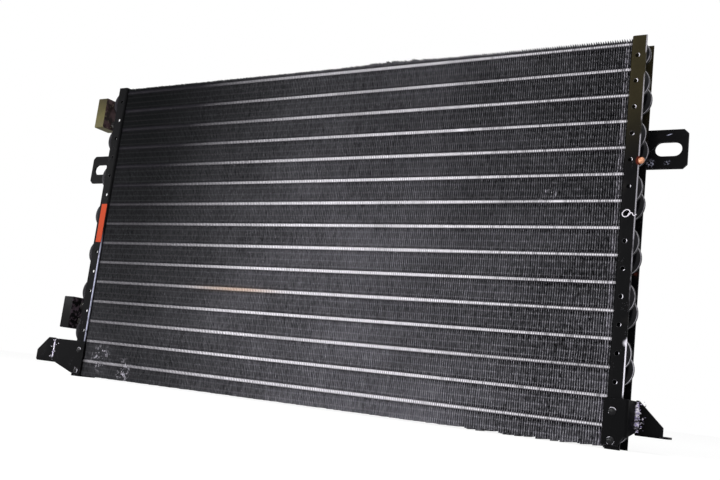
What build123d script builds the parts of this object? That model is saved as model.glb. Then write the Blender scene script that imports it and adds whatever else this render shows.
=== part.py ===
from build123d import *
import math
import os

# The finned core. X runs across it, Y from its front to its back and Z up.
core_width = 662.0
tubes_per_row = 15
tube_pitch = 25.4
row_pitch = 12.7
fin_depth = 25.4
# Each face is drawn as fin edges with gaps between them, and the tubes show in a shallow space behind.
fin_gap_count = 88
fin_edge_width = 2.4
fin_relief = 1.5
fin_margin = 3.0

# The tubes are drawn with eight flat sides and their bends in six straight steps, to keep the part light.
tube_od = 9.52
tube_sides = 8
bend_steps = 6
collar_clearance = 0.05
plate_hole_clearance = 0.2
hairpin_overhang = 6.5

# The end plates are channels, open outward, that stand a little proud of the fins.
plate_sheet = 1.5
plate_proud = 1.6
flange_width = 14.0
fold_radius = 1.0
plate_above_fins = 0.6
plate_below_fins = 1.0
punched_hole_d = 4.0
punched_hole_inset = 5.8
punched_hole_sides = 6

# The side lugs lie on the back of the back flanges.
lug_sheet = 3.0
lug_height = 38.0
lug_overlap = 10.0
lug_centre_z = 278.8
lug_corner = 4.0
right_lug_reach = 36.4
left_lug_reach = 59.8
slot_length = 24.6
slot_width = 13.6
slot_edge = 5.2
lug_weld_length = 12.0
lug_weld_reach = 3.0

# The feet are folded plates riveted to the front flanges, each with a welded angle.
foot_sheet = 1.5
foot_inner_lap = 2.3
foot_bottom = 3.4
foot_top = 44.2
foot_wall_bottom = 16.0
foot_corner_width = 7.0
bend_clearance = 0.3
left_foot_reach = 37.0
angle_sheet = 2.0
angle_width = 24.4
angle_height = 31.0
angle_corner_width = 22.0
angle_corner_height = 21.5
left_angle_width = 30.5
left_corner_width = 18.5
left_corner_height = 17.0
shelf_depth = 22.0
shelf_overhang = 3.5
foot_hole_d = 11.0
foot_weld_size = 3.6

# Rivets through the last two punched holes on each side
rivet_head_d = 7.4
rivet_head_height = 1.7
rivet_head_chamfer = 1.2
rivet_tail_d = 6.0
rivet_tail_height = 1.0
rivet_clearance = 0.05
rivet_sides = 12

# Refrigerant connection blocks
block_width = 15.5
block_depth = 26.0
block_height = 40.6
block_inset = 0.6
block_clearance = 10.0
outlet_block_z = 79.9
inlet_row_index = 0
outlet_row_index = 10
outlet_spacing = 20.0
block_corner = 1.2
port_d = 14.0
port_depth = 9.0
port_rise = 7.0
stud_hole_d = 6.8
stud_hole_depth = 11.0
stud_drop = 11.0

# Small things on the flanges
label_width = 9.6
label_height = 50.6
label_thickness = 0.2
label_centre_z = 198.0
wire_d = 0.9
wire_loop_d = 7.0
wire_sides = 6
wire_loop_steps = 12
wire_hole_index = 6

# Places worked out from the sizes above
core_height = tubes_per_row * tube_pitch
plate_depth = fin_depth + 2 * plate_proud
plate_height = core_height + plate_above_fins + plate_below_fins
fin_top = plate_below_fins + core_height
fin_mid_z = plate_below_fins + core_height / 2
mid_y = plate_depth / 2
front_row_y = mid_y - row_pitch / 2
rear_row_y = mid_y + row_pitch / 2
half_core = core_width / 2
plate_face_x = half_core + plate_sheet
flange_edge_x = half_core + flange_width
bend_radius = tube_pitch / 2
right_crown_x = half_core + bend_radius + tube_od / 2
left_crown_x = plate_face_x + hairpin_overhang + bend_radius + tube_od / 2
block_inner_x = left_crown_x + block_clearance
punched_x = half_core + punched_hole_inset

LEFT, RIGHT = -1, 1


def front_z(index):
    """Height of a tube of the front row, counted from the top."""
    return fin_top - tube_pitch / 4 - index * tube_pitch


def rear_z(index):
    """Height of a tube of the back row, half a pitch below its neighbour in front."""
    return front_z(index) - tube_pitch / 2


def tube_places():
    """The middle of every tube in the core's section, as (y, z)."""
    front = [(front_row_y, front_z(index)) for index in range(tubes_per_row)]
    return front + [(rear_row_y, rear_z(index)) for index in range(tubes_per_row)]


def box(x_range, y_range, z_range):
    """A box between two values on each axis."""
    sizes = [high - low for low, high in (x_range, y_range, z_range)]
    return Pos(x_range[0], y_range[0], z_range[0]) * Box(*sizes, align=(Align.MIN, Align.MIN, Align.MIN))


def sided(shape, side):
    """A shape drawn for the right end, mirrored if it is wanted at the left."""
    return mirror(shape, about=Plane.YZ) if side == LEFT else shape


def facing_back(y):
    """An upright plane seen from the front, with X to the right and Z up. Negative amounts extrude backwards."""
    return Plane(origin=(0, y, 0), x_dir=(1, 0, 0), z_dir=(0, -1, 0))


def across_flats(diameter, sides):
    """A regular polygon, turned so that one of its flats faces each way along both axes if it can."""
    return RegularPolygon(diameter / 2, sides, major_radius=False, rotation=180 / sides)


def tube(points, diameter=tube_od, sides=tube_sides):
    """A many-sided tube along straight runs with mitred corners."""
    start, following = Vector(points[0]), Vector(points[1])
    section = Plane(origin=start, x_dir=(0, 1, 0), z_dir=following - start)
    outline = section * across_flats(diameter, sides)
    return sweep(outline, path=Polyline(*points), transition=Transition.RIGHT)


def half_turn(start_x, side, first, second):
    """Corner points of a half turn between two tube ends, each given as (y, z)."""
    mid_point = [(a + b) / 2 for a, b in zip(first, second)]
    half_step = math.pi / bend_steps / 2
    reach = math.dist(first, second) / 2 / math.cos(half_step)
    points = []
    for step in range(bend_steps):
        angle = (2 * step + 1) * half_step
        share = math.cos(angle) / math.cos(half_step)
        y, z = (m + (f - m) * share for m, f in zip(mid_point, first))
        points.append((start_x + side * reach * math.sin(angle), y, z))
    return points


def hairpin(first, second):
    """Two legs through the whole core, joined by a bend at the left end."""
    bend_x = -(plate_face_x + hairpin_overhang)
    return tube([(half_core, *first), *half_turn(bend_x, LEFT, first, second), (half_core, *second)])


def return_bend(first, second, start_x=half_core):
    """A bend brazed to two legs at the right end, inside the end plate's holes."""
    return tube([(half_core, *first), *half_turn(start_x, RIGHT, first, second), (half_core, *second)])


def connection_tube(z, port_z):
    """A leg of the back row that runs out at the left to a connection block, stepping down to its port."""
    knee_x = plate_face_x + hairpin_overhang
    shoulder_x = block_inner_x - hairpin_overhang
    points = [(half_core, rear_row_y, z), (-block_inner_x, rear_row_y, port_z)]
    if port_z != z:
        points[1:1] = [(-knee_x, rear_row_y, z), (-shoulder_x, rear_row_y, port_z)]
    return tube(points)


def make_fin_pack():
    """The stack of fins, pressed onto the tubes, with the fin edges as ridges on its front and back."""
    edge_depth = (fin_depth - row_pitch - tube_od) / 2 - collar_clearance
    gap_height = core_height - 2 * fin_margin
    relief_y = fin_depth / 2 - edge_depth - fin_relief / 2
    section = Rectangle(fin_depth - 2 * edge_depth, core_height)
    section -= [Pos(y, 0) * Rectangle(fin_relief, gap_height) for y in (relief_y, -relief_y)]
    bore = across_flats(tube_od + 2 * collar_clearance, tube_sides)
    section -= [Pos(y - mid_y, z - fin_mid_z) * bore for y, z in tube_places()]
    end = Plane(origin=(-half_core, mid_y, fin_mid_z), x_dir=(0, 1, 0), z_dir=(1, 0, 0))
    pack = extrude(end * section, amount=core_width)
    edge_pitch = (core_width - fin_edge_width) / fin_gap_count
    gap = Rectangle(edge_pitch - fin_edge_width, gap_height)
    ridges = Rectangle(core_width, core_height) - GridLocations(edge_pitch, 0, fin_gap_count, 1) * gap
    for face_y in (plate_proud, plate_proud + fin_depth - edge_depth):
        face = facing_back(face_y) * Pos(0, fin_mid_z) * ridges
        pack += extrude(face, amount=-edge_depth)
    return pack


def make_end_plate(side):
    """A folded channel with a hole for every tube and a row of punched holes in its front flange."""
    at_fold = (Align.MIN, Align.CENTER)
    outer = Rectangle(flange_width, plate_depth, align=at_fold)
    outer = fillet(outer.vertices().group_by(Axis.X)[0], fold_radius + plate_sheet)
    inner = Rectangle(flange_width, plate_depth - 2 * plate_sheet, align=at_fold)
    inner = fillet(inner.vertices().group_by(Axis.X)[0], fold_radius)
    section = outer - Pos(plate_sheet, 0) * inner
    channel = extrude(Pos(half_core, mid_y) * section, amount=plate_height)
    hole = across_flats(tube_od + 2 * plate_hole_clearance, tube_sides)
    web = Plane(origin=(half_core, 0, 0), x_dir=(0, 1, 0), z_dir=(1, 0, 0))
    holes = [extrude(web * Pos(y, z) * hole, amount=plate_sheet) for y, z in tube_places()]
    channel -= holes
    channel -= [punched_hole(index, 0, plate_sheet) for index in range(tubes_per_row)]
    return sided(channel, side)


def punched_hole(index, front_y, back_y):
    """A prism for one of the small holes of a front flange, level with a tube of the back row."""
    outline = Pos(punched_x, rear_z(index)) * across_flats(punched_hole_d, punched_hole_sides)
    return extrude(facing_back(front_y) * outline, amount=front_y - back_y)


def make_lug(side, reach):
    """A plate behind the back flange, with clipped outer corners and a slot for a bolt."""
    plate = Rectangle(lug_overlap + reach, lug_height, align=(Align.MIN, Align.CENTER))
    plate = chamfer(plate.vertices().group_by(Axis.X)[-1], lug_corner)
    slot_x = lug_overlap + reach - slot_edge - slot_length / 2
    plate -= Pos(slot_x, 0) * SlotOverall(slot_length, slot_width)
    seat = facing_back(plate_depth) * Pos(flange_edge_x - lug_overlap, lug_centre_z)
    return sided(extrude(seat * plate, amount=-lug_sheet), side)


def make_lug_welds(side):
    """Two short beads in the corner between the flange's edge and the lug."""
    corner = make_face(Polyline((0, 0), (lug_weld_reach, 0), (0, -plate_sheet), close=True))
    beads = []
    for end in (-1, 1):
        bottom = lug_centre_z + end * (lug_height - lug_weld_length) / 2 - lug_weld_length / 2
        bead = extrude(Pos(flange_edge_x, plate_depth, bottom) * corner, amount=lug_weld_length)
        beads.append(sided(bead, side))
    return beads


def foot_wall_x(side):
    """Inner face of a foot's side wall: beside the bends at the right, and further out at the left."""
    return flange_edge_x + left_foot_reach if side == LEFT else right_crown_x + bend_clearance


def make_foot(side):
    """A plate riveted to the front flange, with one corner cut off and a wall folded back from its edge."""
    inner_x = half_core - foot_inner_lap
    outer_x = foot_wall_x(side) + foot_sheet
    corner_x = flange_edge_x if side == LEFT else outer_x - foot_corner_width
    outline = Polyline(
        (inner_x, foot_bottom),
        (corner_x, foot_bottom),
        (outer_x, foot_wall_bottom),
        (outer_x, foot_top),
        (inner_x, foot_top),
        close=True,
    )
    foot = extrude(facing_back(-foot_sheet) * make_face(outline), amount=-foot_sheet)
    wall_x = (foot_wall_x(side), outer_x)
    foot += box(wall_x, (-foot_sheet, plate_depth), (foot_wall_bottom, foot_top))
    foot -= [punched_hole(index, -foot_sheet, 0) for index in rivet_rows()]
    return sided(foot, side)


def angle_front_y(side):
    """The angle is at the front edge of the left foot's wall, and at the back edge of the right one's."""
    return -foot_sheet if side == LEFT else plate_depth - angle_sheet


def make_angle(side):
    """An angle outside the foot: an upright leg with a cut corner, and a shelf folded back from it."""
    if side == LEFT:
        width, corner_width, corner_height = left_angle_width, left_corner_width, left_corner_height
    else:
        width, corner_width, corner_height = angle_width, angle_corner_width, angle_corner_height
    inner_x = foot_wall_x(side) + foot_sheet
    outer_x = inner_x + width
    bottom = foot_wall_bottom - angle_sheet
    top = bottom + angle_height
    outline = Polyline(
        (inner_x, bottom),
        (outer_x, bottom),
        (outer_x, top - corner_height),
        (outer_x - corner_width, top),
        (inner_x, top),
        close=True,
    )
    front_y = angle_front_y(side)
    angle = extrude(facing_back(front_y) * make_face(outline), amount=-angle_sheet)
    shelf_x = (inner_x, outer_x + shelf_overhang)
    angle += box(shelf_x, (front_y, front_y + shelf_depth), (bottom, bottom + angle_sheet))
    hole_y = front_y + (angle_sheet + shelf_depth) / 2
    hole = Pos(sum(shelf_x) / 2, hole_y, bottom) * Cylinder(foot_hole_d / 2, 2 * angle_sheet)
    return sided(angle - hole, side)


def make_foot_weld(side):
    """The bead between angle and foot: in their inner corner at the right, over their butt at the left."""
    half = foot_weld_size / 2
    rise = foot_weld_size / 3
    if side == LEFT:
        corners = [(half, 0), (half / 2, -rise), (-half / 2, -rise), (-half, 0)]
    else:
        corners = [(0, 0), (foot_weld_size, 0), (0, -foot_weld_size)]
    place = Pos(foot_wall_x(side) + foot_sheet, angle_front_y(side), foot_wall_bottom)
    bead = extrude(place * make_face(Polyline(*corners, close=True)), amount=foot_top - foot_wall_bottom)
    return sided(bead, side)


def rivet_rows():
    """The last two punched holes, which the rivets of a foot go through."""
    return (tubes_per_row - 2, tubes_per_row - 1)


def make_rivet(side, index):
    """A rivet with a chamfered head in front of the foot and a low tail behind the flange."""
    place = Pos(punched_x, rear_z(index))
    shank_outline = place * across_flats(punched_hole_d - 2 * rivet_clearance, punched_hole_sides)
    tail_outline = place * across_flats(rivet_tail_d, rivet_sides)
    rivet = extrude(facing_back(-foot_sheet) * shank_outline, amount=-(foot_sheet + plate_sheet))
    rivet += extrude(facing_back(plate_sheet) * tail_outline, amount=-rivet_tail_height)
    head_outline = place * across_flats(rivet_head_d, rivet_sides)
    head = extrude(facing_back(-foot_sheet) * head_outline, amount=rivet_head_height)
    rivet += chamfer(head.faces().sort_by(Axis.Y)[0].edges(), rivet_head_chamfer)
    return sided(rivet, side)


def make_block(centre_z):
    """A connection block with a port and a stud hole in its outer face."""
    outer_x = block_inner_x + block_width
    y_range = (block_inset, block_inset + block_depth)
    z_range = (centre_z - block_height / 2, centre_z + block_height / 2)
    block = box((block_inner_x, outer_x), y_range, z_range)
    block = chamfer(block.edges().filter_by(Axis.Y), block_corner)
    face = Plane(origin=(outer_x, sum(y_range) / 2, centre_z), x_dir=(0, 1, 0), z_dir=(1, 0, 0))
    block -= face * Pos(0, port_rise, -port_depth / 2) * Cylinder(port_d / 2, port_depth)
    block -= face * Pos(0, -stud_drop, -stud_hole_depth / 2) * Cylinder(stud_hole_d / 2, stud_hole_depth)
    return sided(block, LEFT)


def make_label():
    """A bare strip on the left front flange."""
    x_range = (punched_x - label_width / 2, punched_x + label_width / 2)
    z_range = (label_centre_z - label_height / 2, label_centre_z + label_height / 2)
    return sided(box(x_range, (-label_thickness, 0), z_range), LEFT)


def make_wire():
    """A loop of wire round a punched hole of the right flange, with a tail hooked over the flange's edge."""
    wire_y = -wire_d / 2
    z = rear_z(wire_hole_index)
    points = []
    for step in range(wire_loop_steps):
        angle = 2 * math.pi * (step + 1) / (wire_loop_steps + 1)
        loop_x = punched_x + wire_loop_d / 2 * math.cos(angle)
        points.append((loop_x, wire_y, z + wire_loop_d / 2 * math.sin(angle)))
    edge_x = flange_edge_x + wire_d / 2
    points += [(edge_x, wire_y, points[-1][2]), (edge_x, plate_sheet + wire_d, points[-1][2])]
    return tube(points, wire_d, wire_sides)


def make_tubes():
    """Every tube of the circuit: the legs with their bends and, at the right, the separate return bends."""
    front, rear = tube_places()[:tubes_per_row], tube_places()[tubes_per_row:]
    nodes = {}
    for index in range(0, tubes_per_row - 1, 2):
        nodes[f"front_hairpin_{index // 2 + 1}"] = [hairpin(front[index], front[index + 1])]
    rear_starts = list(range(inlet_row_index + 2, tubes_per_row - 1, 2))
    rear_starts.remove(outlet_row_index)
    for number, index in enumerate(rear_starts, 1):
        nodes[f"rear_hairpin_{number}"] = [hairpin(rear[index], rear[index + 1])]
    nodes["crossing_hairpin"] = [hairpin(front[-1], rear[-1])]
    nodes["inlet_tube_upper"] = [connection_tube(rear_z(inlet_row_index), rear_z(inlet_row_index))]
    nodes["inlet_tube_lower"] = [connection_tube(rear_z(inlet_row_index + 1), rear_z(inlet_row_index + 1))]
    port_z = outlet_block_z + outlet_spacing / 2
    nodes["outlet_tube_upper"] = [connection_tube(rear_z(outlet_row_index), port_z)]
    nodes["outlet_tube_lower"] = [connection_tube(rear_z(outlet_row_index + 1), port_z - outlet_spacing)]
    pairs = range(1, tubes_per_row - 1, 2)
    nodes["front_return_bends"] = [return_bend(front[index], front[index + 1]) for index in pairs]
    nodes["rear_return_bends"] = [return_bend(rear[index], rear[index + 1]) for index in pairs]
    nodes["crossover_bend"] = [return_bend(front[0], rear[0], plate_face_x)]
    return nodes


def make_part():
    """Every node's name with its solids."""
    nodes = {"fin_pack": [make_fin_pack()], **make_tubes()}
    for name, side, lug_reach in (("left", LEFT, left_lug_reach), ("right", RIGHT, right_lug_reach)):
        nodes[f"{name}_end_plate"] = [make_end_plate(side)]
        nodes[f"{name}_lug"] = [make_lug(side, lug_reach)]
        nodes[f"{name}_lug_welds"] = make_lug_welds(side)
        nodes[f"{name}_foot"] = [make_foot(side)]
        nodes[f"{name}_foot_angle"] = [make_angle(side)]
        nodes[f"{name}_foot_weld"] = [make_foot_weld(side)]
        nodes[f"{name}_rivets"] = [make_rivet(side, index) for index in rivet_rows()]
    nodes["inlet_block"] = [make_block((rear_z(inlet_row_index) + rear_z(inlet_row_index + 1)) / 2)]
    nodes["outlet_block"] = [make_block(outlet_block_z)]
    nodes["flange_label"] = [make_label()]
    nodes["wire_tie"] = [make_wire()]
    return nodes


def main():
    """Writes each node to its own file, with the origin under the middle of the whole part."""
    nodes = make_part()
    whole = Compound([solid for solids in nodes.values() for solid in solids]).bounding_box()
    to_middle = Pos(-whole.center().X, -whole.center().Y, -whole.min.Z)
    os.makedirs("parts", exist_ok=True)
    for name, solids in nodes.items():
        placed = [to_middle * solid for solid in solids]
        shape = placed[0] if len(placed) == 1 else Compound(placed)
        export_step(shape, f"parts/{name}.step")


main()
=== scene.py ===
"""An air conditioning condenser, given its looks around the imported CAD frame."""

import math
import random

import bmesh
import bpy
from bpy.props import FloatProperty, FloatVectorProperty, IntProperty, PointerProperty
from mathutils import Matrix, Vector, noise
from mathutils.geometry import tessellate_polygon


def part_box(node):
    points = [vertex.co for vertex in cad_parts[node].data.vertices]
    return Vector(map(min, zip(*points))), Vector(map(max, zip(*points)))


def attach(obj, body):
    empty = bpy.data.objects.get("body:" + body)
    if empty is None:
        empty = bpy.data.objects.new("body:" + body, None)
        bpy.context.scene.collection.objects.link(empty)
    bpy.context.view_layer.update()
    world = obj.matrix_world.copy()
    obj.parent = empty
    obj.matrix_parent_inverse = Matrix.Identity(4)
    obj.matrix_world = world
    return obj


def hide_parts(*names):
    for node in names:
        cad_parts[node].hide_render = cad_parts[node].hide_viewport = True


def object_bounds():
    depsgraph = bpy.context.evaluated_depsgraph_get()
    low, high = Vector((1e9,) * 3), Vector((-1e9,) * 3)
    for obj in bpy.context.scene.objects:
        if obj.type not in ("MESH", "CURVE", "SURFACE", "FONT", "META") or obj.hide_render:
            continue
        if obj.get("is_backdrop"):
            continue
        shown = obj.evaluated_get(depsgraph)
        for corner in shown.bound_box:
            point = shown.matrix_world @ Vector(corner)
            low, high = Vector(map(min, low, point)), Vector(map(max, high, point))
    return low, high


bl_info = {
    "name": "Air Conditioning Condenser",
    "version": (1, 0, 0),
    "blender": (4, 5, 0),
    "location": "View3D > Sidebar > Condenser",
    "description": "Builds the finned core, tubes, end plates, brackets and blocks of a condenser",
    "category": "Object",
}

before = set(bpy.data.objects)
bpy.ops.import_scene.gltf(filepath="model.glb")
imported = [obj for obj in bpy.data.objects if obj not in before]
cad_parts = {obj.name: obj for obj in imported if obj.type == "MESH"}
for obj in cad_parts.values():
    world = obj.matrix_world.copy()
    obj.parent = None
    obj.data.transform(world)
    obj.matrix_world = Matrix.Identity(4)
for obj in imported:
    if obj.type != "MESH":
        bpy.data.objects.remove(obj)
cad_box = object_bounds()

LEFT, RIGHT = -1, 1
TUBES_PER_ROW = 15
core_low, core_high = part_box("fin_pack")
core_middle = (core_low + core_high) / 2
tube_pitch = (core_high.z - core_low.z) / TUBES_PER_ROW


def node_middle(name):
    """The middle of a CAD node's box."""
    low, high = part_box(name)
    return (low + high) / 2


front_row_y = node_middle("front_hairpin_1").y
rear_row_y = node_middle("rear_hairpin_1").y


def front_z(index):
    """Height of a tube of the front row, counted from the top."""
    return core_high.z - tube_pitch / 4 - index * tube_pitch


def rear_z(index):
    """Height of a tube of the back row."""
    return front_z(index) - tube_pitch / 2


def length_setting(name, description, default):
    """A size that can be set, in metres."""
    return FloatProperty(name=name, description=description, default=default, unit="LENGTH", precision=5)


def colour_setting(name, description, *default):
    """A colour that can be set."""
    return FloatVectorProperty(name=name, description=description, subtype="COLOR", default=default)


class CondenserSizes(bpy.types.PropertyGroup):
    """Sizes of the finely detailed pieces."""

    fin_count: IntProperty(
        name="Fins", description="Number of fins across the core", default=290, min=50, max=600
    )
    fin_thickness: length_setting("Fin thickness", "Thickness of a painted fin", 0.00024)
    fin_recess: length_setting("Fin recess", "How far the fin edges lie behind the CAD core's face", 0.0011)
    tube_diameter: length_setting("Tube diameter", "Outside diameter of the tubes", 0.00952)
    sheet: length_setting("Sheet thickness", "Thickness of the end plates and feet", 0.0015)
    fold_radius: length_setting("Fold radius", "Inner radius of the folds", 0.001)
    edge_round: length_setting("Edge rounding", "Width of the rounded edges", 0.00018)
    wire_diameter: length_setting("Wire diameter", "Diameter of the tie wire", 0.0009)


class CondenserColours(bpy.types.PropertyGroup):
    """Colours of the finishes."""

    paint: colour_setting("Black paint", "Paint of the plates and brackets", 0.005, 0.005, 0.0055)
    dust: colour_setting("Dust", "Dust on the black paint", 0.050, 0.045, 0.042)
    # Also the colour of the painted glints in the black paint.
    grain: colour_setting("Rubbed paint", "Grains and edges where the paint is rubbed", 0.26, 0.25, 0.28)
    # Also the painted highlight along the left plate's fold.
    scratch_and_fold_highlight: colour_setting("Scratches", "Bluish metal in scratches and on the left fold", 0.56, 0.57, 0.74)
    # Mostly painted highlights and glints: fin glints, bend crests, rivet rims, hole rims and the right
    # flange's edge, which is partly real wear.
    bare: colour_setting("Bare metal", "Bright metal on crests, rims and edges", 0.86, 0.83, 0.92)
    olive: colour_setting("Olive film", "Thin olive paint on the right plate", 0.036, 0.031, 0.015)
    fin: colour_setting("Fins", "Dull coat of the fins", 0.012, 0.013, 0.014)
    # Dust together with the painted sheen on the core.
    fin_dust_and_sheen: colour_setting("Fin dust", "Dusty, rubbed fin metal", 0.50, 0.49, 0.54)
    tube: colour_setting("Tubes", "Coat of the tubes", 0.012, 0.011, 0.014)
    # The colour of the painted highlight along the tubes' crests.
    tube_crest_highlight: colour_setting("Tube crest", "Rubbed front of the tubes", 0.95, 0.92, 0.98)
    # Mostly used for the painted glints on the weld beads.
    weld: colour_setting("Weld", "Bare weld metal", 0.92, 0.88, 0.98)
    passivated: colour_setting("Passivated block", "Yellowish block finish", 0.040, 0.034, 0.010)
    label: colour_setting("Label", "Orange strip", 0.37, 0.040, 0.009)
    copper: colour_setting("Copper", "Bare copper", 0.66, 0.30, 0.16)
    wire: colour_setting("Wire", "Tie wire", 0.88, 0.84, 0.92)


class CondenserStage(bpy.types.PropertyGroup):
    """Camera and light."""

    camera_place: FloatVectorProperty(
        name="Camera place", description="Where the camera stands", subtype="TRANSLATION",
        default=(0.56367, -0.81433, 0.02460),
    )
    camera_turn: FloatVectorProperty(
        name="Camera turn", description="How the camera is turned", subtype="EULER",
        default=(math.radians(99.6444), math.radians(-6.7773), math.radians(30.4767)),
    )
    lens: FloatProperty(name="Lens", description="Focal length", default=44.232, unit="CAMERA")
    fill: FloatProperty(name="Fill", description="Strength of the light from all round", default=0.50)
    strip_power: FloatProperty(
        name="Strip power", description="Power of the long lamp in front", default=14.0, unit="POWER"
    )
    top_power: FloatProperty(
        name="Top power", description="Power of the soft lamp above", default=7.0, unit="POWER"
    )


def sizes():
    return bpy.context.scene.condenser_sizes


def colours():
    return bpy.context.scene.condenser_colours


class Value:
    """A number that varies over a surface. Sums and products with it add Math nodes."""

    def __init__(self, nodes, socket):
        self.nodes = nodes
        self.socket = socket

    def __add__(self, other):
        return self.nodes.math("ADD", self, other)

    def __sub__(self, other):
        return self.nodes.math("SUBTRACT", self, other)

    def __mul__(self, other):
        return self.nodes.math("MULTIPLY", self, other)

    def __truediv__(self, other):
        return self.nodes.math("DIVIDE", self, other)

    def __pow__(self, other):
        return self.nodes.math("POWER", self, other)

    def __gt__(self, other):
        return self.nodes.math("GREATER_THAN", self, other)

    def __lt__(self, other):
        return self.nodes.math("LESS_THAN", self, other)

    def __rsub__(self, other):
        return self.nodes.math("SUBTRACT", other, self)

    __radd__ = __add__
    __rmul__ = __mul__


class Nodes:
    """A node tree that is put together from expressions."""

    def __init__(self, tree):
        self.tree = tree

    def node(self, kind, settings=None, inputs=None):
        """Adds a node, with its settings first and then the values or links of its sockets."""
        made = self.tree.nodes.new(kind)
        for key, value in (settings or {}).items():
            setattr(made, key, value)
        for key, value in (inputs or {}).items():
            self.feed(made.inputs[key], value)
        return made

    def feed(self, socket, value):
        """Links a socket or sets its value."""
        if isinstance(value, Value):
            value = value.socket
        if isinstance(value, bpy.types.NodeSocket):
            self.tree.links.new(value, socket)
        else:
            socket.default_value = value

    def math(self, operation, *values):
        made = self.node("ShaderNodeMath", {"operation": operation}, dict(enumerate(values)))
        return Value(self, made.outputs[0])

    def clamp(self, value):
        made = self.node("ShaderNodeClamp", inputs={"Value": value})
        return Value(self, made.outputs[0])

    def ramp(self, value, low, high):
        """0 below low and 1 above high, with an even rise between them."""
        inputs = {"Value": value, "From Min": low, "From Max": high}
        made = self.node("ShaderNodeMapRange", {"interpolation_type": "SMOOTHSTEP"}, inputs)
        return Value(self, made.outputs["Result"])

    def peak(self, value, middle, width):
        """1 in the middle of a band, falling to 0 at its sides."""
        return 1 - self.ramp(self.math("ABSOLUTE", value - middle), 0.0, width)


class Finish(Nodes):
    """A procedural material on an object's own coordinates."""

    def __init__(self, name):
        self.material = bpy.data.materials.new(name)
        self.material.use_nodes = True
        super().__init__(self.material.node_tree)
        self.shader = self.tree.nodes["Principled BSDF"]
        self.place = self.node("ShaderNodeTexCoord").outputs["Object"]
        self.x, self.y, self.z = self.parts(self.place)
        self.base = None

    def parts(self, vector):
        made = self.node("ShaderNodeSeparateXYZ", inputs={"Vector": vector})
        return [Value(self, socket) for socket in made.outputs]

    def facing(self):
        """The parts of the surface's direction."""
        return self.parts(self.node("ShaderNodeNewGeometry").outputs["Normal"])

    def spot(self, x, z, reach):
        """1 at a place seen from the front, falling to 0 at a distance from it."""
        far = ((self.x - x) ** 2 + (self.z - z) ** 2) ** 0.5
        return 1 - self.ramp(far, 0.0, reach)

    def stretched(self, scale):
        """The place on the object, scaled along each axis."""
        made = self.node("ShaderNodeVectorMath", {"operation": "MULTIPLY"}, {0: self.place, 1: scale})
        return made.outputs[0]

    def noise(self, scale, detail=3.0, stretch=(1, 1, 1), rough=0.55):
        inputs = {"Vector": self.stretched(stretch), "Scale": scale, "Detail": detail, "Roughness": rough}
        return Value(self, self.node("ShaderNodeTexNoise", inputs=inputs).outputs["Fac"])

    def speckle(self, scale):
        """Distance to the nearest of many scattered points."""
        inputs = {"Vector": self.place, "Scale": scale}
        return Value(self, self.node("ShaderNodeTexVoronoi", inputs=inputs).outputs["Distance"])

    def each(self, value):
        """A random number for every whole number."""
        whole = self.math("FLOOR", value)
        made = self.node("ShaderNodeTexWhiteNoise", {"noise_dimensions": "1D"}, {"W": whole})
        return Value(self, made.outputs["Value"])

    def blend(self, factor, first, second):
        """A colour between two colours."""
        settings = {"data_type": "RGBA", "clamp_factor": True}
        made = self.node("ShaderNodeMix", settings)
        self.feed(made.inputs[0], factor)
        for socket, colour in ((made.inputs[6], first), (made.inputs[7], second)):
            self.feed(socket, colour if isinstance(colour, bpy.types.NodeSocket) else (*colour, 1.0))
        return made.outputs[2]

    def coat(self, factor, colour):
        """Lays a colour over the coats so far, where the factor says."""
        self.base = self.blend(factor, self.base, colour)

    def patches(self, low, high, *noise):
        """Uneven patches: 0 where the noise is below low, and 1 where it is above high."""
        return self.ramp(self.noise(*noise), low, high)

    def edge_wear(self, radius, gain):
        """How close a place is to a sharp outer edge, broken up by noise."""
        bevel = self.node("ShaderNodeBevel", {"samples": 4}, {"Radius": radius}).outputs[0]
        normal = self.node("ShaderNodeNewGeometry").outputs["Normal"]
        dot = self.node("ShaderNodeVectorMath", {"operation": "DOT_PRODUCT"}, {0: bevel, 1: normal})
        turned = 1 - Value(self, dot.outputs["Value"])
        return self.clamp(turned * gain * self.patches(0.42, 0.62, 160.0))

    def bump(self, scale, detail, strength, distance):
        """Noise that stands out from the surface."""
        inputs = {"Height": self.noise(scale, detail), "Strength": strength, "Distance": distance}
        made = self.node("ShaderNodeBump", inputs=inputs)
        self.feed(self.shader.inputs["Normal"], made.outputs["Normal"])

    def set(self, **values):
        """Sets the shader's sockets, with _ for the spaces in their names."""
        values.setdefault("Base_Color", self.base)
        for key, value in values.items():
            socket = self.shader.inputs[key.replace("_", " ")]
            if isinstance(value, (tuple, list)) or hasattr(value, "hsv"):
                value = (*value, 1.0)
            self.feed(socket, value)
        return self.material


# Marks on the object, as (x, z) seen from the front
LUG_SCRATCH = (0.3821, 0.29279)
LUG_SCRAPE = (0.3665, 0.2655)
LUG_RUB = (0.3815, 0.2658)
RED_SMEAR = (0.3590, 0.1600)
BROWN_STREAK = (-0.088, 0.1217)
COPPER_DROP = (0.3650, 0.2602)

# How steeply the lug's scratch rises
SCRATCH_SLOPE = 0.31

# Groups of bent fins with painted glints: middle as (x, z), and reach
GLINTS = ((-0.284, 0.026, 0.022), (-0.243, 0.013, 0.020), (0.279, 0.228, 0.014))

finishes = {}


def finish_for(name, make):
    """Each finish is made once and shared by its pieces."""
    if name not in finishes:
        finishes[name] = make(Finish(name))
    return finishes[name]


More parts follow.
